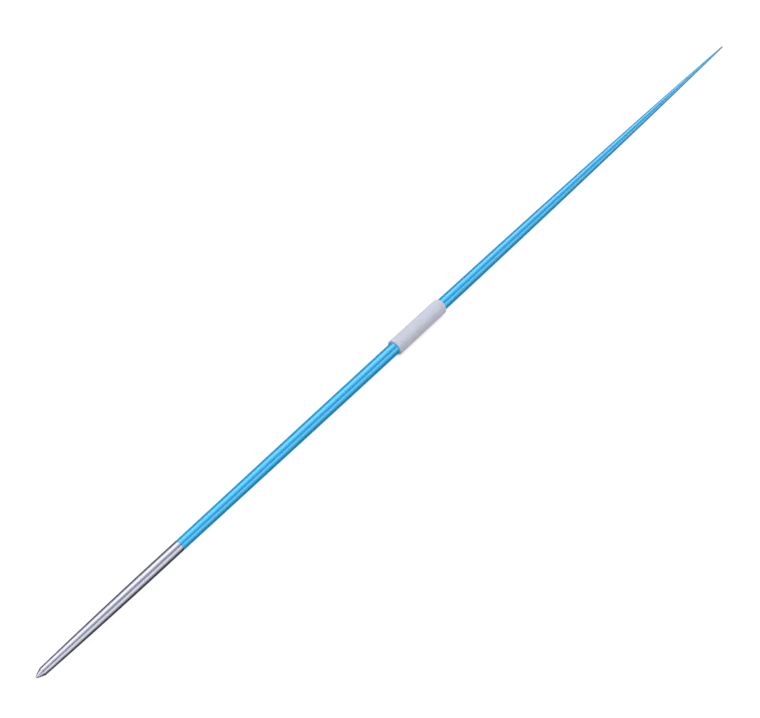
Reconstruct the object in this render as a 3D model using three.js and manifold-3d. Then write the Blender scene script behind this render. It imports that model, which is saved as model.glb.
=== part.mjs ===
// A 600 g throwing javelin, lying level and in balance on its cord grip.
// Millimetres, +Z up, +X from the point to the tail. The origin is on the surface that the javelin
// lies on, under the middle of the grip.
import * as THREE from "three";
import { mergeVertices } from "three/addons/utils/BufferGeometryUtils.js";
import Module from "manifold-3d";

const wasm = await Module();
wasm.setup();

// The whole javelin
const javelinLength = 2250;
const headLength = 267;
const gripStart = 804; // from the tip of the point to the front end of the grip
const gripLength = 146;
const shoulderDiameter = 13.4;
const jointDiameter = 19.7; // where the head meets the shaft
const shaftDiameter = 24.8; // under the grip, the thickest part of the shaft
const gripDiameter = 32.8;
const tailDiameter = 4.1;

// Fits
const bondGap = 0.1; // round a piece that is glued or pressed into its seat
const seatGap = 0.3; // between two faces that butt against each other

// How the outline swells and tapers: 1 is a straight cone, more is a fuller curve
const headPower = 2.25;
const frontPower = 1.25;
const tailPower = 2.02;

// Point
const coneLength = 10.9;
const noseRadius = 2.4;
const spigotDiameter = 10.2;
const spigotLength = 29;

// Head sleeve
const headWall = 0.9;
const counterboreLength = 6; // from the spigot's bore out to the hollow behind it
const socketWall = 1.1; // at the joint, round the shaft's neck

// Balance slug
const slugLength = 15;

// Shaft
const shaftWall = 1.4;
const neckLength = 45;
const neckTaperLength = 8; // where the bore narrows from the shaft to its neck

// Neck plug
const neckPlugLength = 30;
const neckPlugInset = 2;

// Grip
const turns = 23;
const turnGap = 0.48;
const tapeThickness = 0.4;
const tapeSetback = 0.5; // how far the tape stops short of each end of the winding
const footShare = 0.1; // how much of the cord's thickness is worn flat where the grip lies

// Tail plug
const tailPlugLength = 38; // what shows behind the shaft
const tailStemLength = 30;
const tailRound = 1.4;

// Facets
const roundSides = 40;
const thinSides = 24;
const stepsPerTurn = 24;
const cordSides = 6;

// Sizes that follow from the ones above. Stations are distances from the tip of the point.
const shoulderRadius = shoulderDiameter / 2;
const jointRadius = jointDiameter / 2;
const shaftRadius = shaftDiameter / 2;
const gripRadius = gripDiameter / 2;
const tailRadius = tailDiameter / 2;
const gripEnd = gripStart + gripLength;
const gripMiddle = gripStart + gripLength / 2;
const shaftEnd = javelinLength - tailPlugLength;
const neckStart = headLength - neckLength;
const spigotEnd = coneLength + spigotLength;
const hollowStart = spigotEnd + counterboreLength;
const socketRadius = jointRadius - socketWall;
const neckRadius = socketRadius - bondGap;
const tapeRadius = shaftRadius + bondGap + tapeThickness;
const cordInnerRadius = tapeRadius + seatGap;
const cordThickness = gripRadius - cordInnerRadius;
const cordWidth = (gripLength - turns * turnGap) / (turns + 1);
const axisHeight = gripRadius - footShare * cordThickness;

// Outer radius of the steel head, from the shoulder to the joint
function headRadiusAt(station) {
  const share = (headLength - station) / (headLength - coneLength);
  return jointRadius - (jointRadius - shoulderRadius) * share ** headPower;
}

// Outer radius of the shaft, and of the tail plug that carries its taper on to the end
function shaftRadiusAt(station) {
  if (station < gripStart) {
    const share = (gripStart - station) / (gripStart - headLength);
    return shaftRadius - (shaftRadius - jointRadius) * share ** frontPower;
  }
  const share = Math.max(0, (station - gripEnd) / (javelinLength - gripEnd));
  return tailRadius + (shaftRadius - tailRadius) * (1 - share ** tailPower);
}

// Points of an outline between two stations
function outline(from, to, steps, radiusAt) {
  return Array.from({ length: steps + 1 }, (_, i) => {
    const station = from + ((to - from) * i) / steps;
    return new THREE.Vector2(radiusAt(station), station);
  });
}

// Points of a round, from one angle to another about a centre on the axis side
function round(radius, centreRadius, centreStation, fromAngle, toAngle, steps) {
  return Array.from({ length: steps + 1 }, (_, i) => {
    const angle = fromAngle + ((toAngle - fromAngle) * i) / steps;
    return new THREE.Vector2(
      centreRadius + radius * Math.cos(angle),
      centreStation + radius * Math.sin(angle),
    );
  });
}

const at = (radius, station) => new THREE.Vector2(radius, station);

// A turned piece. Its profile runs up the outside and down the inside, or starts and ends on the axis.
const turned = (profile, sides = roundSides) => new THREE.LatheGeometry(profile, sides);

// The javelin lies along +X: in this group, +Y is its axis and a turned piece's stations are heights.
const javelin = new THREE.Group();
const onAxis = new THREE.Group();
onAxis.rotation.z = -Math.PI / 2;
onAxis.position.set(-gripMiddle, 0, axisHeight);
javelin.add(onAxis);

function add(name, geometry, color, metalness, roughness) {
  const mesh = new THREE.Mesh(
    geometry,
    new THREE.MeshStandardMaterial({ color, metalness, roughness }),
  );
  mesh.name = name;
  onAxis.add(mesh);
}

// Point: a blunt nose that runs out tangent into the cone, the sharp shoulder that the cone ends
// in, and the spigot that is pressed into the sleeve.
const noseReach = Math.hypot(coneLength - noseRadius, shoulderRadius);
const coneAngle =
  Math.atan2(shoulderRadius, coneLength - noseRadius) - Math.asin(noseRadius / noseReach);
const spigotRadius = spigotDiameter / 2;
const pointProfile = [
  ...round(noseRadius, 0, noseRadius, -Math.PI / 2, -coneAngle, 5),
  at(shoulderRadius, coneLength),
  at(spigotRadius, coneLength),
  at(spigotRadius, spigotEnd),
  at(0, spigotEnd),
];
pointProfile[0].x = 0;
add("point", turned(pointProfile), "#b4b6c0", 1, 0.25);

// Head sleeve: the ogive outside, the spigot's bore and its counterbore, the thin-walled hollow,
// and the socket that is reamed for the shaft's neck.
const sleeveStart = coneLength + seatGap;
const sleeveBoreRadius = spigotRadius + bondGap;
const socketStart = neckStart - seatGap;
const hollowRadiusAt = (station) => headRadiusAt(station) - headWall;
const sleeveProfile = [
  ...outline(sleeveStart, headLength, 14, headRadiusAt),
  at(socketRadius, headLength),
  at(socketRadius, socketStart),
  ...outline(socketStart, hollowStart, 8, hollowRadiusAt),
  at(sleeveBoreRadius, spigotEnd),
  at(sleeveBoreRadius, sleeveStart),
  at(headRadiusAt(sleeveStart), sleeveStart),
];
add("head_sleeve", turned(sleeveProfile), "#b9bac6", 1, 0.22);

// Balance slug: turned to the taper of the hollow and driven forward until it wedges there.
const slugStart = hollowStart + seatGap;
const slugEnd = slugStart + slugLength;
const slugProfile = [
  at(0, slugStart),
  ...outline(slugStart, slugEnd, 2, (station) => hollowRadiusAt(station) - bondGap),
  at(0, slugEnd),
];
add("balance_slug", turned(slugProfile), "#b08d4a", 1, 0.4);

// Shaft: one swaged tube. The neck goes into the head and its step butts against the sleeve; the
// outside swells to the grip, runs parallel under it and then tapers in one long curve.
const stepStation = headLength + seatGap;
const boreRadiusAt = (station) => shaftRadiusAt(station) - shaftWall;
const neckBoreRadius = neckRadius - shaftWall;
const boreStart = stepStation + neckTaperLength;
const shaftProfile = [
  at(neckRadius, neckStart),
  at(neckRadius, stepStation),
  ...outline(stepStation, gripStart, 9, shaftRadiusAt),
  ...outline(gripEnd, shaftEnd, 16, shaftRadiusAt),
  ...outline(shaftEnd, gripEnd, 12, boreRadiusAt),
  ...outline(gripStart, boreStart, 6, boreRadiusAt),
  at(neckBoreRadius, stepStation),
  at(neckBoreRadius, neckStart),
  at(neckRadius, neckStart),
];
add("shaft", turned(shaftProfile), "#1b9cd8", 0.8, 0.28);

// Neck plug: keeps the thin neck round when the head is pressed on.
const neckPlugStart = neckStart + neckPlugInset;
const neckPlugRadius = neckBoreRadius - bondGap;
const neckPlugProfile = [
  at(0, neckPlugStart),
  at(neckPlugRadius, neckPlugStart),
  at(neckPlugRadius, neckPlugStart + neckPlugLength),
  at(0, neckPlugStart + neckPlugLength),
];
add("neck_plug", turned(neckPlugProfile), "#c9a877", 0, 0.8);

// Grip tape: bonded round the parallel stretch of the shaft, under the cord.
const tapeStart = gripStart + tapeSetback;
const tapeEnd = gripEnd - tapeSetback;
const tapeProfile = [
  at(tapeRadius, tapeStart),
  at(tapeRadius, tapeEnd),
  at(shaftRadius + bondGap, tapeEnd),
  at(shaftRadius + bondGap, tapeStart),
  at(tapeRadius, tapeStart),
];
add("grip_tape", turned(tapeProfile), "#d8d4c8", 0, 0.9);

// Tail plug: a stem in the shaft's bore, and the tip that carries the taper on to a rounded end.
const plugStart = shaftEnd + seatGap;
const stemRadius = boreRadiusAt(shaftEnd) - bondGap;
const tailProfile = [
  at(0, shaftEnd - tailStemLength),
  at(stemRadius, shaftEnd - tailStemLength),
  at(stemRadius, plugStart),
  ...outline(plugStart, javelinLength - tailRound, 3, shaftRadiusAt),
  ...round(tailRound, tailRadius - tailRound, javelinLength - tailRound, 0, Math.PI / 2, 4),
  at(0, javelinLength),
];
add("tail_plug", turned(tailProfile, thinSides), "#8f979e", 0.8, 0.4);

// Grip cord: one flattened cord wound as a helix. Its ends leave the winding along their tangents
// at the top of the grip, and its underside is flat where the javelin lies.
const pitch = cordWidth + turnGap;
const windingRadius = cordInnerRadius + cordThickness / 2;
const hexagonReach = Math.sin(Math.PI / 3); // from a hexagon's centre to its flat, of corner radius 1

// The cord's section at an angle along the winding, counted from the middle of the grip, where the
// cord passes underneath. Positive run moves the section straight on along the tangent.
function cordRing(angle, run) {
  const outward = new THREE.Vector3(-Math.sin(angle), 0, -Math.cos(angle));
  const tangent = new THREE.Vector3(
    -windingRadius * Math.cos(angle),
    pitch / (2 * Math.PI),
    windingRadius * Math.sin(angle),
  ).normalize();
  const sideways = new THREE.Vector3().crossVectors(tangent, outward);
  const centre = outward
    .clone()
    .multiplyScalar(windingRadius)
    .add(new THREE.Vector3(0, gripMiddle + (pitch * angle) / (2 * Math.PI), 0))
    .addScaledVector(tangent, run);
  return Array.from({ length: cordSides }, (_, side) => {
    const corner = (2 * Math.PI * side) / cordSides;
    return centre
      .clone()
      .addScaledVector(sideways, (cordWidth / 2) * Math.cos(corner))
      .addScaledVector(outward, ((cordThickness / 2) * Math.sin(corner)) / hexagonReach);
  });
}

function cordRings() {
  const lastAngle = turns * Math.PI;
  const rings = [cordRing(-lastAngle, -cordWidth)];
  for (let step = 0; step <= turns * stepsPerTurn; step += 1) {
    rings.push(cordRing(-lastAngle + (2 * Math.PI * step) / stepsPerTurn, 0));
  }
  rings.push(cordRing(lastAngle, cordWidth));
  return rings;
}

// The least distance between points of the cord that lie half a turn or more apart along it
function leastGap(rings) {
  let least = Infinity;
  for (let first = 0; first < rings.length; first += 1) {
    for (let second = first + stepsPerTurn / 2; second < rings.length; second += 1) {
      for (const a of rings[first]) {
        for (const b of rings[second]) least = Math.min(least, a.distanceTo(b));
      }
    }
  }
  return least;
}

function tubeGeometry(rings) {
  const corners = rings.flat().flatMap((corner) => corner.toArray());
  const triangles = [];
  for (let ring = 0; ring + 1 < rings.length; ring += 1) {
    for (let side = 0; side < cordSides; side += 1) {
      const a = ring * cordSides + side;
      const b = ring * cordSides + ((side + 1) % cordSides);
      triangles.push(a, a + cordSides, b, b, a + cordSides, b + cordSides);
    }
  }
  const last = (rings.length - 1) * cordSides;
  for (let side = 1; side + 1 < cordSides; side += 1) {
    triangles.push(0, side, side + 1, last, last + side + 1, last + side);
  }
  const geometry = new THREE.BufferGeometry();
  geometry.setAttribute("position", new THREE.Float32BufferAttribute(corners, 3));
  geometry.setIndex(triangles);
  return geometry;
}

function solidOf(geometry) {
  const bare = geometry.clone();
  bare.deleteAttribute("normal");
  bare.deleteAttribute("uv");
  const merged = mergeVertices(bare);
  return new wasm.Manifold(
    new wasm.Mesh({
      numProp: 3,
      vertProperties: merged.attributes.position.array,
      triVerts: new Uint32Array(merged.index.array),
    }),
  );
}

function geometryOf(solid) {
  const mesh = solid.getMesh();
  const geometry = new THREE.BufferGeometry();
  geometry.setAttribute("position", new THREE.BufferAttribute(mesh.vertProperties, 3));
  geometry.setIndex(new THREE.BufferAttribute(mesh.triVerts, 1));
  return geometry;
}

const windingRings = cordRings();
console.log(`least gap of the grip cord to itself: ${leastGap(windingRings).toFixed(2)} mm`);
const below = new THREE.BoxGeometry(gripDiameter, gripLength + gripDiameter, gripDiameter);
below.translate(0, gripMiddle, -axisHeight - gripDiameter / 2);
const grip = solidOf(tubeGeometry(windingRings)).subtract(solidOf(below));
add("grip_cord", geometryOf(grip), "#d3d5df", 0, 0.9);

export default javelin;
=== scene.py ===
import math

import bmesh
import bpy
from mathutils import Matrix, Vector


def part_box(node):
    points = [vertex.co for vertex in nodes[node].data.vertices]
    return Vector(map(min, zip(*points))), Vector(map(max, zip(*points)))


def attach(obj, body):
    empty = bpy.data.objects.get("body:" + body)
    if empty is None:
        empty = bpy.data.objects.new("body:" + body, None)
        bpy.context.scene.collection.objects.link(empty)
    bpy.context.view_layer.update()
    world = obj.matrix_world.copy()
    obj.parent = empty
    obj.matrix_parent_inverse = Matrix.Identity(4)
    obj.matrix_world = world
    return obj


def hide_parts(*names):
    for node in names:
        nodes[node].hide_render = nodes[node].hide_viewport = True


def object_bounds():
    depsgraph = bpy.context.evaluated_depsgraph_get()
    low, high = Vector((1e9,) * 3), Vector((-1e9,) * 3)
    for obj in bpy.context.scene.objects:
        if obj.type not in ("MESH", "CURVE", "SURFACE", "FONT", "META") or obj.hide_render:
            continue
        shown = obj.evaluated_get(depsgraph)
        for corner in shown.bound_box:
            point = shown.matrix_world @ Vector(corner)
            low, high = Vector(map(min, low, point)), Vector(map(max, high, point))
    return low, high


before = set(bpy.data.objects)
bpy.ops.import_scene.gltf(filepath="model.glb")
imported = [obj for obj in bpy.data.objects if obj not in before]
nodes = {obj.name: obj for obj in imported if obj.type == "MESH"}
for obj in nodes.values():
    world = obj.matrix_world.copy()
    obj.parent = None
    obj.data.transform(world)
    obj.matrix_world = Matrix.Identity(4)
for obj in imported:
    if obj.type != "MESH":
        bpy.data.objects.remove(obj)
cad_low, cad_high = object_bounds()
mm = 0.001


# Shaft: one aluminium tube, drawn and then swaged, so that it swells to the hand and runs out to
# the tail in one long curve. It is anodised blue all over, and a reduced neck in front is glued
# into the steel head.
def colour(hex_code):
    """An sRGB hex value as linear RGBA."""
    levels = [int(hex_code[i : i + 2], 16) / 255 for i in (1, 3, 5)]
    return (*[c / 12.92 if c <= 0.04045 else ((c + 0.055) / 1.055) ** 2.4 for c in levels], 1)


def add(tree, kind, inputs=None, **settings):
    """Adds a node: its settings first, then its inputs, each a value or a socket to link."""
    node = tree.nodes.new(kind)
    for name, value in settings.items():
        setattr(node, name, value)
    for key, value in (inputs or {}).items():
        if isinstance(value, bpy.types.NodeSocket):
            tree.links.new(value, node.inputs[key])
        else:
            node.inputs[key].default_value = value
    return node


def new_material(name):
    """A material without any nodes yet, and its tree."""
    material = bpy.data.materials.new(name)
    material.use_nodes = True
    material.node_tree.nodes.clear()
    return material, material.node_tree


def streaks(tree, place, width, along=1, around=1, detail=2, roughness=0.5):
    """Uneven marks of a real width. A small share draws them out along the javelin or round it."""
    drawn_out = add(tree, "ShaderNodeMapping", {"Vector": place, "Scale": (along, around, around)})
    return add(
        tree,
        "ShaderNodeTexNoise",
        {
            "Vector": drawn_out.outputs[0],
            "Scale": 1 / width,
            "Detail": detail,
            "Roughness": roughness,
        },
    ).outputs["Fac"]


def sized_tree(name, sizes):
    """A geometry tree with a named input for each size, the sockets that give these sizes, and
    the sockets that take what the tree makes."""
    tree = bpy.data.node_groups.new(name, "GeometryNodeTree")
    tree.interface.new_socket("Geometry", in_out="OUTPUT", socket_type="NodeSocketGeometry")
    for size, value in sizes.items():
        kind = "NodeSocketInt" if isinstance(value, int) else "NodeSocketFloat"
        tree.interface.new_socket(size, in_out="INPUT", socket_type=kind)
    return tree, tree.nodes.new("NodeGroupInput").outputs, tree.nodes.new("NodeGroupOutput").inputs


def shaped(tree, sizes):
    """An object that the tree shapes at these sizes."""
    maker = bpy.data.objects.new(tree.name, bpy.data.meshes.new(tree.name))
    bpy.context.scene.collection.objects.link(maker)
    modifier = maker.modifiers.new(tree.name, "NODES")
    modifier.node_group = tree
    for item in tree.interface.items_tree:
        if item.in_out == "INPUT":
            modifier[item.identifier] = sizes[item.name]
    return maker


def finished(maker, name, edge=0.0):
    """The plain mesh of an object and its modifiers, its sharp edges broken by the given width."""
    if edge:
        bevel = maker.modifiers.new("broken edges", "BEVEL")
        bevel.width = edge
        bevel.segments = 3
        bevel.limit_method = "ANGLE"
        bevel.angle_limit = math.radians(12)
        bevel.use_clamp_overlap = False
        bevel.harden_normals = True
    depsgraph = bpy.context.evaluated_depsgraph_get()
    mesh = bpy.data.meshes.new_from_object(maker.evaluated_get(depsgraph), depsgraph=depsgraph)
    mesh.name = name
    bpy.data.objects.remove(maker)
    piece = bpy.data.objects.new(name, mesh)
    bpy.context.scene.collection.objects.link(piece)
    return piece


def middle_and_radius(node):
    """The height of a round node's axis, and its largest radius."""
    low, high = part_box(node)
    return (low.z + high.z) / 2, (high.y - low.y) / 2


glue_line = 0.1 * mm
neck_step = 1.2 * mm
shaft_wall = 1.4 * mm
tape_setback = 0.5 * mm
axis_height, shaft_radius = middle_and_radius("shaft")
joint_radius = middle_and_radius("head_sleeve")[1]
neck_radius = joint_radius - neck_step
neck_x, tail_joint_x = (corner.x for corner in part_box("shaft"))
joint_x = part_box("head_sleeve")[1].x
tail_x = cad_high.x
grip_start_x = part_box("grip_tape")[0].x - tape_setback
grip_end_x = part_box("grip_tape")[1].x + tape_setback
shaft_sizes = {
    "Neck X": neck_x,
    "Joint X": joint_x + glue_line / 2,
    "Grip Start X": grip_start_x,
    "Grip End X": grip_end_x,
    "Cut X": tail_joint_x,
    "Taper End X": tail_x,
    "Neck Radius": neck_radius,
    "Joint Radius": joint_radius,
    "Full Radius": shaft_radius,
    "Tail Radius": 2.05 * mm,
    "Front Power": 1.25,
    "Tail Power": 2.02,
    "Axis Height": axis_height,
    "Ring Spacing": 12 * mm,
    "Sides": 144,
}

# Anodised aluminium: bright blue with soft reflections of its own colour from the drawn metal under
# the dye, and a thin clear gloss of the sealed oxide on top. The real drawing lines are finer. They
# are half a millimetre wide here, so that they show.
anodised, tree = new_material("blue anodised aluminium")
draw_line = 0.5 * mm
dye_cloud = 60 * mm
place = add(tree, "ShaderNodeTexCoord").outputs["Object"]
draw_lines = streaks(tree, place, draw_line, along=0.01, detail=3, roughness=0.6)
cloud = add(
    tree, "ShaderNodeTexNoise", {"Vector": place, "Scale": 1 / dye_cloud, "Detail": 2}
).outputs["Fac"]
dye = add(
    tree,
    "ShaderNodeMix",
    {0: cloud, 6: colour("#00b2f3"), 7: colour("#02b8f6")},
    data_type="RGBA",
)
satin = add(
    tree, "ShaderNodeMapRange", {"Value": draw_lines, "To Min": 0.34, "To Max": 0.41}
).outputs[0]
lines = add(tree, "ShaderNodeBump", {"Height": draw_lines, "Strength": 0.02, "Distance": 0.02 * mm})
skin = add(
    tree,
    "ShaderNodeBsdfPrincipled",
    {
        "Base Color": dye.outputs[2],
        "Metallic": 0.14,
        "Roughness": satin,
        "Normal": lines.outputs[0],
        "Specular IOR Level": 0.1,
        "Coat Weight": 1.0,
        "Coat Roughness": 0.12,
        "Coat IOR": 1.77,
    },
)
add(tree, "ShaderNodeOutputMaterial", {"Surface": skin.outputs[0]})

# The tube follows its axis from the joint to the tail plug, and grows thinner both ways from the
# grip by a power of the distance. The neck is a plain cylinder in front of it.
tree, size, result = sized_tree("swaged tube", shaft_sizes)
round_section = add(tree, "GeometryNodeCurvePrimitiveCircle", {"Resolution": size["Sides"]})
tube_start = add(tree, "ShaderNodeCombineXYZ", {"X": size["Joint X"], "Z": size["Axis Height"]})
tube_end = add(tree, "ShaderNodeCombineXYZ", {"X": size["Cut X"], "Z": size["Axis Height"]})
tube_axis = add(
    tree,
    "GeometryNodeCurvePrimitiveLine",
    {"Start": tube_start.outputs[0], "End": tube_end.outputs[0]},
)
rings_along = add(
    tree,
    "GeometryNodeResampleCurve",
    {"Curve": tube_axis.outputs[0], "Length": size["Ring Spacing"]},
    mode="LENGTH",
)
ring_place = add(tree, "GeometryNodeInputPosition").outputs[0]
ring_x = add(tree, "ShaderNodeSeparateXYZ", {0: ring_place}).outputs["X"]
front_share = add(
    tree,
    "ShaderNodeMapRange",
    {"Value": ring_x, "From Min": size["Grip Start X"], "From Max": size["Joint X"]},
)
front_fall = add(
    tree,
    "ShaderNodeMath",
    {0: front_share.outputs[0], 1: size["Front Power"]},
    operation="POWER",
)
front_radius = add(
    tree,
    "ShaderNodeMapRange",
    {
        "Value": front_fall.outputs[0],
        "To Min": size["Full Radius"],
        "To Max": size["Joint Radius"],
    },
)
rear_share = add(
    tree,
    "ShaderNodeMapRange",
    {"Value": ring_x, "From Min": size["Grip End X"], "From Max": size["Taper End X"]},
)
rear_fall = add(
    tree, "ShaderNodeMath", {0: rear_share.outputs[0], 1: size["Tail Power"]}, operation="POWER"
)
ring_radius = add(
    tree,
    "ShaderNodeMapRange",
    {
        "Value": rear_fall.outputs[0],
        "To Min": front_radius.outputs[0],
        "To Max": size["Tail Radius"],
    },
)
tube = add(
    tree,
    "GeometryNodeCurveToMesh",
    {
        "Curve": rings_along.outputs[0],
        "Profile Curve": round_section.outputs[0],
        "Scale": ring_radius.outputs[0],
    },
)
neck_start = add(tree, "ShaderNodeCombineXYZ", {"X": size["Neck X"], "Z": size["Axis Height"]})
neck_axis = add(
    tree,
    "GeometryNodeCurvePrimitiveLine",
    {"Start": neck_start.outputs[0], "End": tube_start.outputs[0]},
)
neck = add(
    tree,
    "GeometryNodeCurveToMesh",
    {
        "Curve": neck_axis.outputs[0],
        "Profile Curve": round_section.outputs[0],
        "Scale": size["Neck Radius"],
    },
)
neck_and_tube = add(tree, "GeometryNodeJoinGeometry")
for stretch in (neck, tube):
    tree.links.new(stretch.outputs[0], neck_and_tube.inputs[0])
smooth = add(tree, "GeometryNodeSetShadeSmooth", {"Geometry": neck_and_tube.outputs[0]})
real = add(tree, "GeometryNodeRealizeInstances", {"Geometry": smooth.outputs[0]})
coloured = add(
    tree, "GeometryNodeSetMaterial", {"Geometry": real.outputs[0], "Material": anodised}
)
tree.links.new(coloured.outputs[0], result[0])

maker = shaped(tree, shaft_sizes)
wall = maker.modifiers.new("wall", "SOLIDIFY")
wall.thickness = shaft_wall
wall.offset = -1
shaft_tube = finished(maker, "shaft_tube", edge=0.2 * mm)
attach(shaft_tube, "root")
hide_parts("shaft")


# Neck plug: a turned beech plug glued into the shaft's thin neck, which keeps it round when the
# head is pressed on. It keeps its CAD shape.

# Turned beech: a dull warm brown, with paler and darker fibres that run along the plug.
beech, tree = new_material("turned beech")
fibre = 1.5 * mm
place = add(tree, "ShaderNodeTexCoord").outputs["Object"]
grain = streaks(tree, place, fibre, along=0.08, detail=4)
wood = add(
    tree,
    "ShaderNodeMix",
    {0: grain, 6: colour("#b98d60"), 7: colour("#d9b98e")},
    data_type="RGBA",
)
pores = add(tree, "ShaderNodeBump", {"Height": grain, "Strength": 0.2, "Distance": 0.05 * mm})
skin = add(
    tree,
    "ShaderNodeBsdfPrincipled",
    {"Base Color": wood.outputs[2], "Roughness": 0.6, "Normal": pores.outputs[0]},
)
add(tree, "ShaderNodeOutputMaterial", {"Surface": skin.outputs[0]})
nodes["neck_plug"].material_slots[0].material = beech


# Balance slug: a brass slug turned to the taper of the head's hollow and driven forward in it,
# which brings the point of balance under the grip. It keeps its CAD shape.

# Turned brass: a yellow metal that is a little blurred by the rings of the tool's feed round it.
brass, tree = new_material("turned brass")
slug_feed = 0.4 * mm
place = add(tree, "ShaderNodeTexCoord").outputs["Object"]
rings = streaks(tree, place, slug_feed, around=0.02)
tarnish = add(
    tree,
    "ShaderNodeMix",
    {0: rings, 6: colour("#b8914f"), 7: colour("#d3ad6a")},
    data_type="RGBA",
)
ridges = add(tree, "ShaderNodeBump", {"Height": rings, "Strength": 0.25, "Distance": 0.05 * mm})
skin = add(
    tree,
    "ShaderNodeBsdfPrincipled",
    {
        "Base Color": tarnish.outputs[2],
        "Metallic": 1.0,
        "Roughness": 0.35,
        "Normal": ridges.outputs[0],
    },
)
add(tree, "ShaderNodeOutputMaterial", {"Surface": skin.outputs[0]})
nodes["balance_slug"].material_slots[0].material = brass


# Head sleeve: a thin hollow steel head, turned and polished to an ogive. It is pressed over the
# point's spigot in front, and its socket is glued over the shaft's neck behind.
def turned(name, outline, sides, material):
    """A piece turned about the axis. Its outline of x and radius goes from pole to pole, or round
    the wall of a bore and back to where it starts."""
    turns = [2 * math.pi * side / sides for side in range(sides)]
    corners = [
        (x, radius * math.sin(turn), axis_height + radius * math.cos(turn))
        for x, radius in outline
        for turn in turns
    ]
    bored = outline[0][1] > 0
    faces = []
    for ring in range(len(outline) if bored else len(outline) - 1):
        here = ring * sides
        there = (ring + 1) % len(outline) * sides
        for side in range(sides):
            after = (side + 1) % sides
            faces.append((here + side, here + after, there + after, there + side))
    mesh = bpy.data.meshes.new(name)
    mesh.from_pydata(corners, [], faces)
    cleaned = bmesh.new()
    cleaned.from_mesh(mesh)
    bmesh.ops.remove_doubles(cleaned, verts=cleaned.verts, dist=0.001 * mm)
    bmesh.ops.recalc_face_normals(cleaned, faces=cleaned.faces)
    for face in cleaned.faces:
        face.smooth = True
    cleaned.to_mesh(mesh)
    cleaned.free()
    mesh.materials.append(material)
    maker = bpy.data.objects.new(name, mesh)
    bpy.context.scene.collection.objects.link(maker)
    return maker


def outline_between(start_x, end_x, steps, radius_at):
    """Points of an outline between two places on the axis."""
    xs = [start_x + (end_x - start_x) * step / steps for step in range(steps + 1)]
    return [(x, radius_at(x)) for x in xs]


cone_length = 10.9 * mm
head_power = 2.25
head_wall = 0.9 * mm
spigot_radius = 5.1 * mm
bore_taper = 6 * mm
neck_gap = 0.3 * mm
tip_x = cad_low.x
shoulder_x = tip_x + cone_length
shoulder_radius = middle_and_radius("point")[1]
spigot_end_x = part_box("point")[1].x
hollow_x = spigot_end_x + bore_taper
bore_radius = spigot_radius + glue_line
socket_x = neck_x - neck_gap
socket_radius = neck_radius + glue_line
sleeve_start_x = shoulder_x + glue_line / 2
sleeve_end_x = joint_x - glue_line / 2


def head_radius(x):
    """The outside of the head, an ogive from the shoulder of the point to the joint."""
    share = (joint_x - x) / (joint_x - shoulder_x)
    return joint_radius - (joint_radius - shoulder_radius) * share**head_power


def hollow_radius(x):
    """The head's hollow, which follows the outside."""
    return head_radius(x) - head_wall


# Polished stainless steel: bright and lightly blurred, with the rings of the polishing belt across
# it and a few dull scuffs where the head goes into the ground. The real rings are finer. They are
# half a millimetre wide here, so that they show.
steel, tree = new_material("polished stainless steel")
polish_ring = 0.5 * mm
scuff = 1.2 * mm
scuffed_length = 120 * mm
place = add(tree, "ShaderNodeTexCoord").outputs["Object"]
rings = streaks(tree, place, polish_ring, around=0.03, detail=3, roughness=0.6)
scuffs = streaks(tree, place, scuff, along=0.06, detail=4)
deep_scuffs = add(
    tree, "ShaderNodeMapRange", {"Value": scuffs, "From Min": 0.56, "From Max": 0.72}
).outputs[0]
steel_x = add(tree, "ShaderNodeSeparateXYZ", {0: place}).outputs["X"]
scuffed = add(
    tree,
    "ShaderNodeMapRange",
    {
        "Value": steel_x,
        "From Min": tip_x,
        "From Max": tip_x + scuffed_length,
        "To Min": 0.25,
        "To Max": 0.03,
    },
).outputs[0]
wear = add(
    tree, "ShaderNodeMath", {0: deep_scuffs, 1: scuffed}, operation="MULTIPLY"
).outputs[0]
belt = add(
    tree, "ShaderNodeMapRange", {"Value": rings, "To Min": 0.34, "To Max": 0.42}
).outputs[0]
dull = add(tree, "ShaderNodeMath", {0: belt, 1: wear}, operation="ADD").outputs[0]
tone = add(
    tree,
    "ShaderNodeMix",
    {0: rings, 6: colour("#b5b6c5"), 7: colour("#bdbfce")},
    data_type="RGBA",
)
ridges = add(tree, "ShaderNodeBump", {"Height": rings, "Strength": 0.05, "Distance": 0.02 * mm})
skin = add(
    tree,
    "ShaderNodeBsdfPrincipled",
    {
        "Base Color": tone.outputs[2],
        "Metallic": 1.0,
        "Roughness": dull,
        "Normal": ridges.outputs[0],
    },
)
add(tree, "ShaderNodeOutputMaterial", {"Surface": skin.outputs[0]})

# Outside from front to rear, and back through the socket, the hollow and the spigot's bore
sleeve_outline = [
    *outline_between(sleeve_start_x, sleeve_end_x, steps=40, radius_at=head_radius),
    (sleeve_end_x, socket_radius),
    (socket_x, socket_radius),
    *outline_between(socket_x, hollow_x, steps=8, radius_at=hollow_radius),
    (spigot_end_x, bore_radius),
    (sleeve_start_x, bore_radius),
]
sleeve_blank = turned("head_sleeve_blank", sleeve_outline, shaft_sizes["Sides"], steel)
head = finished(sleeve_blank, "steel_head", edge=0.15 * mm)
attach(head, "root")
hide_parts("head_sleeve")


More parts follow.
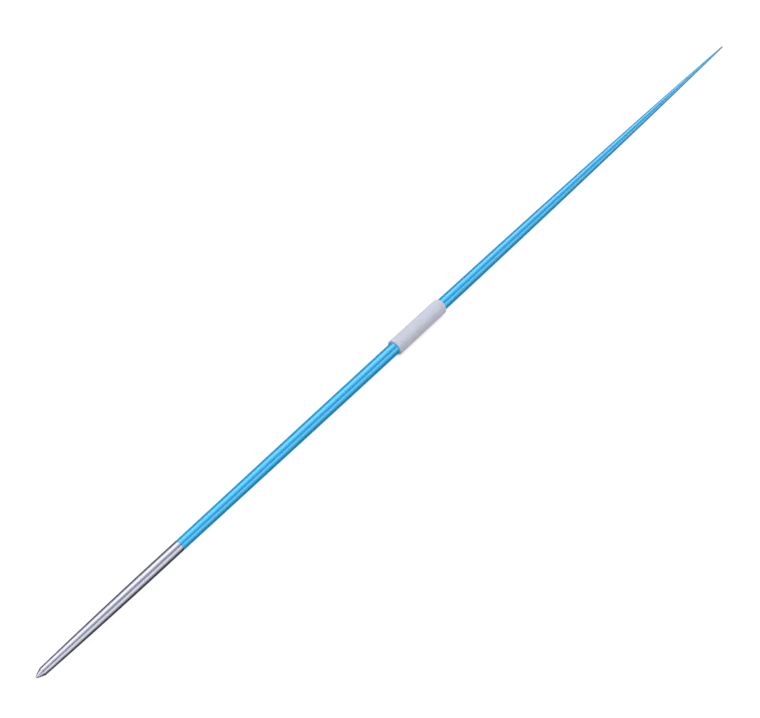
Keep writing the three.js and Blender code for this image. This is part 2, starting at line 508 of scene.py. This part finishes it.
# Point: a solid hardened nose, turned and ground: a blunt round end, a short cone up to a sharp
# shoulder, and a spigot behind it that is pressed into the head.
nose_radius = 2.4 * mm
nose_steps = 12
nose_x = tip_x + nose_radius
tangent_reach = math.hypot(shoulder_x - nose_x, shoulder_radius)
shoulder_angle = math.atan2(shoulder_radius, shoulder_x - nose_x)
cone_angle = shoulder_angle - math.asin(nose_radius / tangent_reach)
nose_end_turn = math.pi / 2 - cone_angle
nose_turns = [nose_end_turn * step / nose_steps for step in range(nose_steps + 1)]
nose = [
    (nose_x - nose_radius * math.cos(turn), nose_radius * math.sin(turn)) for turn in nose_turns
]
cone_start_x, cone_start_radius = nose[-1]


def cone_radius(x):
    """The cone, which leaves the round nose without a corner."""
    share = (x - cone_start_x) / (shoulder_x - cone_start_x)
    return cone_start_radius + (shoulder_radius - cone_start_radius) * share


point_outline = [
    *nose,
    *outline_between(cone_start_x, shoulder_x, steps=12, radius_at=cone_radius)[1:],
    (shoulder_x, spigot_radius),
    (spigot_end_x, spigot_radius),
    (spigot_end_x, 0),
]
point_blank = turned("point_blank", point_outline, shaft_sizes["Sides"], steel)
point = finished(point_blank, "steel_point", edge=0.12 * mm)
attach(point, "root")
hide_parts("point")


# Tail plug: a small turned aluminium plug, left bare. Its stem is glued into the shaft's open end,
# and it carries the shaft's taper on to a rounded tip.

# Turned aluminium: grey and satin, with the fine rings of the tool's feed round it.
bare, tree = new_material("turned aluminium")
plug_feed = 0.3 * mm
place = add(tree, "ShaderNodeTexCoord").outputs["Object"]
rings = streaks(tree, place, plug_feed, around=0.03)
tone = add(
    tree,
    "ShaderNodeMix",
    {0: rings, 6: colour("#8da7b8"), 7: colour("#9fb8c7")},
    data_type="RGBA",
)
ridges = add(tree, "ShaderNodeBump", {"Height": rings, "Strength": 0.1, "Distance": 0.02 * mm})
skin = add(
    tree,
    "ShaderNodeBsdfPrincipled",
    {
        "Base Color": tone.outputs[2],
        "Metallic": 1.0,
        "Roughness": 0.42,
        "Normal": ridges.outputs[0],
    },
)
add(tree, "ShaderNodeOutputMaterial", {"Surface": skin.outputs[0]})

tail_radius = shaft_sizes["Tail Radius"]
tail_round = 1.4 * mm
round_x = tail_x - tail_round
round_steps = 8
round_turns = [math.pi / 2 * step / round_steps for step in range(1, round_steps + 1)]


def rear_radius(x):
    """The outside of the shaft behind the grip, which the plug carries on."""
    share = max(0, (x - grip_end_x) / (tail_x - grip_end_x))
    return shaft_radius - (shaft_radius - tail_radius) * share ** shaft_sizes["Tail Power"]


stem_radius = rear_radius(tail_joint_x) - shaft_wall - glue_line
stem_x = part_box("tail_plug")[0].x
plug_x = tail_joint_x + glue_line
plug_outline = [
    (stem_x, 0),
    (stem_x, stem_radius),
    (plug_x, stem_radius),
    *outline_between(plug_x, round_x, steps=8, radius_at=rear_radius),
    *[
        (
            round_x + tail_round * math.sin(turn),
            tail_radius - tail_round + tail_round * math.cos(turn),
        )
        for turn in round_turns
    ],
    (tail_x, 0),
]
plug_blank = turned("plug_blank", plug_outline, shaft_sizes["Sides"] // 2, bare)
plug = finished(plug_blank, "tail_tip", edge=0.1 * mm)
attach(plug, "root")
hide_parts("tail_plug")


# Grip tape: cotton tape bonded round the shaft, which gives the cord its hold. It shows only as a
# thin line at each end of the grip, and keeps its CAD shape.

# Woven cotton tape: off-white and without any shine, with the small dimples of its weave.
tape, tree = new_material("woven cotton tape")
thread = 0.35 * mm
place = add(tree, "ShaderNodeTexCoord").outputs["Object"]
weave = add(
    tree,
    "ShaderNodeTexVoronoi",
    {"Vector": place, "Scale": 1 / thread, "Randomness": 0.4},
).outputs["Distance"]
cloth = add(
    tree,
    "ShaderNodeMix",
    {0: weave, 6: colour("#c4c6d2"), 7: colour("#dcdde6")},
    data_type="RGBA",
)
threads = add(tree, "ShaderNodeBump", {"Height": weave, "Strength": 0.5, "Distance": 0.1 * mm})
skin = add(
    tree,
    "ShaderNodeBsdfPrincipled",
    {"Base Color": cloth.outputs[2], "Roughness": 0.9, "Normal": threads.outputs[0]},
)
add(tree, "ShaderNodeOutputMaterial", {"Surface": skin.outputs[0]})
nodes["grip_tape"].material_slots[0].material = tape


# Grip: one thin cotton whipcord, wound forwards over the tape and back again over itself, turn
# against turn, and bonded. Its ends run out thin at the back of the grip, and it is worn flat
# underneath.
cord_sizes = {
    "Turns": 80.0,
    "Start X": grip_start_x,
    "End X": grip_end_x,
    "Step Back": 2.6 * mm,
    "Outer Radius": middle_and_radius("grip_cord")[1],
    "Cord Diameter": 1.74 * mm,
    "Climb": 0.5,
    "Tuck": 14 * mm,
    "Thinnest": 0.35,
    "Axis Height": axis_height,
    "Points": 5600,
    "Sides": 8,
}

# Cotton whipcord: off-white and matt, with three strands that wind round the cord, a short fuzz,
# and a faint mottling where hands have been. The real fibres are finer than the fuzz, which is
# as coarse as it needs to be to show. The winding gives each point its run along the cord, and
# its side round it.
whipcord, tree = new_material("cotton whipcord")
lay = 4.5 * mm
strand_count = 3
fuzz_size = 0.2 * mm
hand_mark = 25 * mm
place = add(tree, "ShaderNodeTexCoord").outputs["Object"]
run = add(tree, "ShaderNodeAttribute", attribute_name="run").outputs["Fac"]
side_vector = add(tree, "ShaderNodeAttribute", attribute_name="side").outputs["Vector"]
side = add(tree, "ShaderNodeSeparateXYZ", {0: side_vector}).outputs
side_angle = add(
    tree, "ShaderNodeMath", {0: side["Y"], 1: side["X"]}, operation="ARCTAN2"
).outputs[0]
twist = add(
    tree, "ShaderNodeMath", {0: run, 1: 2 * math.pi / lay}, operation="MULTIPLY"
).outputs[0]
strand_angle = add(
    tree, "ShaderNodeMath", {0: side_angle, 1: twist}, operation="SUBTRACT"
).outputs[0]
strand_turn = add(
    tree, "ShaderNodeMath", {0: strand_angle, 1: strand_count / 2}, operation="MULTIPLY"
).outputs[0]
strand_wave = add(tree, "ShaderNodeMath", {0: strand_turn}, operation="COSINE").outputs[0]
strands = add(tree, "ShaderNodeMath", {0: strand_wave}, operation="ABSOLUTE").outputs[0]
fuzz = add(
    tree,
    "ShaderNodeTexNoise",
    {"Vector": place, "Scale": 1 / fuzz_size, "Detail": 3, "Roughness": 0.7},
).outputs["Fac"]
handled = add(
    tree, "ShaderNodeTexNoise", {"Vector": place, "Scale": 1 / hand_mark, "Detail": 4}
).outputs["Fac"]
cotton = add(
    tree,
    "ShaderNodeMix",
    {0: handled, 6: colour("#d9dbe8"), 7: colour("#dee1ee")},
    data_type="RGBA",
)
laid_up = add(tree, "ShaderNodeBump", {"Height": strands, "Strength": 0.5, "Distance": 0.12 * mm})
hairy = add(
    tree,
    "ShaderNodeBump",
    {"Height": fuzz, "Strength": 0.3, "Distance": 0.05 * mm, "Normal": laid_up.outputs[0]},
)
skin = add(
    tree,
    "ShaderNodeBsdfPrincipled",
    {
        "Base Color": cotton.outputs[2],
        "Roughness": 0.9,
        "Normal": hairy.outputs[0],
        "Sheen Weight": 0.1,
    },
)
add(tree, "ShaderNodeOutputMaterial", {"Surface": skin.outputs[0]})

# Where the cord is: its turns are counted from the front end of the grip, where it turns back
tree, size, result = sized_tree("whipcord winding", cord_sizes)
straight = add(tree, "GeometryNodeCurvePrimitiveLine")
route = add(
    tree, "GeometryNodeResampleCurve", {"Curve": straight.outputs[0], "Count": size["Points"]}
)
route_share = add(tree, "GeometryNodeSplineParameter").outputs["Factor"]
turns_both_ways = add(
    tree, "ShaderNodeMath", {0: size["Turns"], 1: 2}, operation="MULTIPLY"
).outputs[0]
turns_run = add(
    tree, "ShaderNodeMath", {0: route_share, 1: turns_both_ways}, operation="MULTIPLY"
).outputs[0]
turn_count = add(
    tree, "ShaderNodeMath", {0: turns_run, 1: size["Turns"]}, operation="SUBTRACT"
).outputs[0]
turns_from_front = add(tree, "ShaderNodeMath", {0: turn_count}, operation="ABSOLUTE").outputs[0]
how_far_back = add(
    tree, "ShaderNodeMath", {0: turns_from_front, 1: size["Turns"]}, operation="DIVIDE"
).outputs[0]
climb_end = add(
    tree, "ShaderNodeMath", {0: size["Climb"], 1: 0.5}, operation="MULTIPLY"
).outputs[0]
climb_start = add(
    tree, "ShaderNodeMath", {0: size["Climb"], 1: -0.5}, operation="MULTIPLY"
).outputs[0]
outer_share = add(
    tree,
    "ShaderNodeMapRange",
    {"Value": turn_count, "From Min": climb_start, "From Max": climb_end},
    interpolation_type="SMOOTHSTEP",
).outputs[0]
girth = add(
    tree, "ShaderNodeMath", {0: size["Outer Radius"], 1: 2 * math.pi}, operation="MULTIPLY"
).outputs[0]
cord_run = add(tree, "ShaderNodeMath", {0: girth, 1: turns_run}, operation="MULTIPLY").outputs[0]

# How full it is: whole along the winding, thin where its ends are tucked in
turns_to_end = add(
    tree, "ShaderNodeMath", {0: size["Turns"], 1: turns_from_front}, operation="SUBTRACT"
).outputs[0]
to_end = add(tree, "ShaderNodeMath", {0: girth, 1: turns_to_end}, operation="MULTIPLY").outputs[0]
fullness = add(
    tree,
    "ShaderNodeMapRange",
    {"Value": to_end, "From Max": size["Tuck"], "To Min": size["Thinnest"]},
    interpolation_type="SMOOTHSTEP",
).outputs[0]
full_radius = add(
    tree, "ShaderNodeMath", {0: size["Cord Diameter"], 1: 0.5}, operation="MULTIPLY"
).outputs[0]
cord_radius = add(
    tree, "ShaderNodeMath", {0: full_radius, 1: fullness}, operation="MULTIPLY"
).outputs[0]
thinned = add(
    tree, "ShaderNodeMath", {0: full_radius, 1: cord_radius}, operation="SUBTRACT"
).outputs[0]

# Its path round the axis, the first layer under the second
inner_share = add(tree, "ShaderNodeMath", {0: 1.0, 1: outer_share}, operation="SUBTRACT").outputs[0]
layer_drop = add(
    tree, "ShaderNodeMath", {0: inner_share, 1: size["Cord Diameter"]}, operation="MULTIPLY"
).outputs[0]
outer_reach = add(
    tree, "ShaderNodeMath", {0: size["Outer Radius"], 1: full_radius}, operation="SUBTRACT"
).outputs[0]
layer_reach = add(
    tree, "ShaderNodeMath", {0: outer_reach, 1: layer_drop}, operation="SUBTRACT"
).outputs[0]
reach = add(tree, "ShaderNodeMath", {0: layer_reach, 1: thinned}, operation="SUBTRACT").outputs[0]
angle = add(tree, "ShaderNodeMath", {0: turn_count, 1: 2 * math.pi}, operation="MULTIPLY").outputs[0]
angle_sine = add(tree, "ShaderNodeMath", {0: angle}, operation="SINE").outputs[0]
angle_cosine = add(tree, "ShaderNodeMath", {0: angle}, operation="COSINE").outputs[0]
cord_y = add(tree, "ShaderNodeMath", {0: reach, 1: angle_sine}, operation="MULTIPLY").outputs[0]
drop = add(tree, "ShaderNodeMath", {0: reach, 1: angle_cosine}, operation="MULTIPLY").outputs[0]
cord_z = add(
    tree, "ShaderNodeMath", {0: size["Axis Height"], 1: drop}, operation="SUBTRACT"
).outputs[0]
front_x = add(
    tree, "ShaderNodeMath", {0: size["Start X"], 1: full_radius}, operation="ADD"
).outputs[0]
first_back_x = add(
    tree, "ShaderNodeMath", {0: size["End X"], 1: full_radius}, operation="SUBTRACT"
).outputs[0]
step_back = add(
    tree, "ShaderNodeMath", {0: outer_share, 1: size["Step Back"]}, operation="MULTIPLY"
).outputs[0]
back_x = add(
    tree, "ShaderNodeMath", {0: first_back_x, 1: step_back}, operation="SUBTRACT"
).outputs[0]
cord_x = add(
    tree, "ShaderNodeMapRange", {"Value": how_far_back, "To Min": front_x, "To Max": back_x}
).outputs[0]
cord_place = add(tree, "ShaderNodeCombineXYZ", {"X": cord_x, "Y": cord_y, "Z": cord_z})
laid = add(
    tree,
    "GeometryNodeSetPosition",
    {"Geometry": route.outputs[0], "Position": cord_place.outputs[0]},
)
measured = add(
    tree,
    "GeometryNodeStoreNamedAttribute",
    {"Geometry": laid.outputs[0], "Name": "run", "Value": cord_run},
)
cord_section = add(tree, "GeometryNodeCurvePrimitiveCircle", {"Resolution": size["Sides"]})
section_place = add(tree, "GeometryNodeInputPosition").outputs[0]
marked = add(
    tree,
    "GeometryNodeStoreNamedAttribute",
    {"Geometry": cord_section.outputs[0], "Name": "side", "Value": section_place},
    data_type="FLOAT_VECTOR",
)
cord = add(
    tree,
    "GeometryNodeCurveToMesh",
    {
        "Curve": measured.outputs[0],
        "Profile Curve": marked.outputs[0],
        "Scale": cord_radius,
        "Fill Caps": True,
    },
)

# The underside is worn level with the surface that the javelin lies on
skin_place = add(tree, "GeometryNodeInputPosition").outputs[0]
skin_at = add(tree, "ShaderNodeSeparateXYZ", {0: skin_place}).outputs
above = add(tree, "ShaderNodeMath", {0: skin_at["Z"], 1: 0.0}, operation="MAXIMUM").outputs[0]
worn_place = add(tree, "ShaderNodeCombineXYZ", {"X": skin_at["X"], "Y": skin_at["Y"], "Z": above})
worn_flat = add(
    tree,
    "GeometryNodeSetPosition",
    {"Geometry": cord.outputs[0], "Position": worn_place.outputs[0]},
)
smooth = add(tree, "GeometryNodeSetShadeSmooth", {"Geometry": worn_flat.outputs[0]})
real = add(tree, "GeometryNodeRealizeInstances", {"Geometry": smooth.outputs[0]})
coloured = add(
    tree, "GeometryNodeSetMaterial", {"Geometry": real.outputs[0], "Material": whipcord}
)
tree.links.new(coloured.outputs[0], result[0])

grip = finished(shaped(tree, cord_sizes), "cord_grip")
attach(grip, "root")
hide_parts("grip_cord")


# Studio: a white table, shaded where the javelin nearly touches it by its own shadow and by painted
# shade in its glow, and two long softboxes along the javelin. Black cards above, behind and under it
# give the round metal its dark lines. Only reflections see the cards, and in them the air grows
# dimmer past the tail.
studio_reach = 14.0


def seen_share(tree):
    """1 for the rays of the view, of reflections and of clear things, 0 for soft light."""
    looks = add(tree, "ShaderNodeLightPath").outputs
    shiny = add(
        tree,
        "ShaderNodeMath",
        {0: looks["Is Glossy Ray"], 1: looks["Is Transmission Ray"]},
        operation="MAXIMUM",
    )
    return add(
        tree,
        "ShaderNodeMath",
        {0: looks["Is Camera Ray"], 1: shiny.outputs[0]},
        operation="MAXIMUM",
    ).outputs[0]


def panel(name, near_edge, far_edge, material):
    """A flat panel of the studio along the javelin, between two edges at their y and z."""
    mesh = bpy.data.meshes.new(name)
    mesh.from_pydata(
        [
            (-studio_reach, *near_edge),
            (studio_reach, *near_edge),
            (studio_reach, *far_edge),
            (-studio_reach, *far_edge),
        ],
        [],
        [(0, 1, 2, 3)],
    )
    mesh.materials.append(material)
    flat = bpy.data.objects.new(name, mesh)
    bpy.context.scene.collection.objects.link(flat)
    return flat


def aside(distance, angle):
    """The y and z at a distance from the axis, at an angle in degrees from overhead to the back."""
    turn = math.radians(angle)
    return distance * math.sin(turn), axis_height + distance * math.cos(turn)


# The table glows white to the view and to reflections, and gives the javelin less light than that
table_z = -0.1 * mm
table_white_level = 0.93
table_light_level = 0.26
painted_shade_reach = 6 * mm
painted_shade_level = 0.60
table_white, tree = new_material("white table")
open_glow = add(
    tree,
    "ShaderNodeMapRange",
    {"Value": seen_share(tree), "To Min": table_light_level, "To Max": table_white_level},
).outputs[0]
# Painted contact shade: the table's glow is dimmed where the javelin comes near it, on top of its
# real shadow
openness = add(
    tree, "ShaderNodeAmbientOcclusion", {"Distance": painted_shade_reach}, samples=4
).outputs["AO"]
painted_contact_shade = add(
    tree, "ShaderNodeMapRange", {"Value": openness, "To Min": painted_shade_level, "To Max": 1.0}
).outputs[0]
glow_strength = add(
    tree, "ShaderNodeMath", {0: open_glow, 1: painted_contact_shade}, operation="MULTIPLY"
).outputs[0]
sheet = add(tree, "ShaderNodeBsdfDiffuse", {"Color": (0.14, 0.14, 0.14, 1)})
glow = add(tree, "ShaderNodeEmission", {"Strength": glow_strength})
glowing_sheet = add(tree, "ShaderNodeAddShader", {0: sheet.outputs[0], 1: glow.outputs[0]})
add(tree, "ShaderNodeOutputMaterial", {"Surface": glowing_sheet.outputs[0]})
panel("table", (-studio_reach, table_z), (studio_reach, table_z), table_white)

# The air is white to the view and to reflections, but dimmer to reflections that look past the tail.
# How far a ray points that way is its share along the javelin, from 0 across it to 1 in line with it.
air_white_level = 1.0
air_light_level = 0.49
dimming_starts = 0.5
dimming_full = 0.86
dimming = 0.6
world = bpy.data.worlds.new("studio")
bpy.context.scene.world = world
world.use_nodes = True
tree = world.node_tree
tree.nodes.clear()
air_level = add(
    tree,
    "ShaderNodeMapRange",
    {"Value": seen_share(tree), "To Min": air_light_level, "To Max": air_white_level},
).outputs[0]
direction = add(tree, "ShaderNodeTexCoord").outputs["Generated"]
tailwards = add(tree, "ShaderNodeSeparateXYZ", {0: direction}).outputs["X"]
falloff = add(
    tree,
    "ShaderNodeMapRange",
    {
        "Value": tailwards,
        "From Min": dimming_starts,
        "From Max": dimming_full,
        "To Min": 0.0,
        "To Max": dimming,
    },
).outputs[0]
mirrored = add(tree, "ShaderNodeLightPath").outputs["Is Glossy Ray"]
shade = add(tree, "ShaderNodeMath", {0: falloff, 1: mirrored}, operation="MULTIPLY").outputs[0]
shaded = add(tree, "ShaderNodeMath", {0: air_level, 1: shade}, operation="SUBTRACT").outputs[0]
air = add(tree, "ShaderNodeBackground", {"Color": (1, 1, 1, 1), "Strength": shaded})
add(tree, "ShaderNodeOutputWorld", {"Surface": air.outputs[0]})

lamp_length = 8.2
lamp_middle_x = -0.1
lamp_distance = 1.6
for name, angle, width, power in (
    ("high softbox", 28.3, 0.93, 39.9),
    ("low softbox", -63.6, 0.58, 17.4),
):
    lamp = bpy.data.lights.new(name, "AREA")
    lamp.shape = "RECTANGLE"
    lamp.size = lamp_length
    lamp.size_y = width
    lamp.energy = power
    holder = bpy.data.objects.new(name, lamp)
    holder.location = (lamp_middle_x, *aside(lamp_distance, angle))
    holder.rotation_euler = (-math.radians(angle), 0, 0)
    bpy.context.scene.collection.objects.link(holder)

overhead_distance = 1.2
far_distance = 0.4
mat_near_y = -0.105
mat_far_y = 0.4
black, tree = new_material("black card")
black_paint = add(tree, "ShaderNodeBsdfDiffuse", {"Color": (0.05, 0.05, 0.05, 1)})
add(tree, "ShaderNodeOutputMaterial", {"Surface": black_paint.outputs[0]})
for card in (
    panel("overhead_card", aside(overhead_distance, -42), aside(overhead_distance, -16), black),
    panel("far_card", aside(far_distance, 60), aside(far_distance, 94), black),
    panel("dark_mat", (mat_near_y, 0.0), (mat_far_y, 0.0), black),
):
    for rays in ("camera", "diffuse", "shadow", "transmission"):
        setattr(card, f"visible_{rays}", False)


# Camera: high in front of the point and to one side, with a moderate wide lens, so that the head
# looks long and the tail short.
camera = bpy.data.cameras.new("camera")
camera.lens = 40
camera.sensor_width = 36
viewpoint = bpy.data.objects.new("camera", camera)
viewpoint.location = (-0.914, -0.656, 1.202)
viewpoint.rotation_euler = (math.radians(41.226), math.radians(0.045), math.radians(-50.632))
bpy.context.scene.collection.objects.link(viewpoint)
bpy.context.scene.camera = viewpoint
bpy.context.scene.view_settings.view_transform = "Standard"
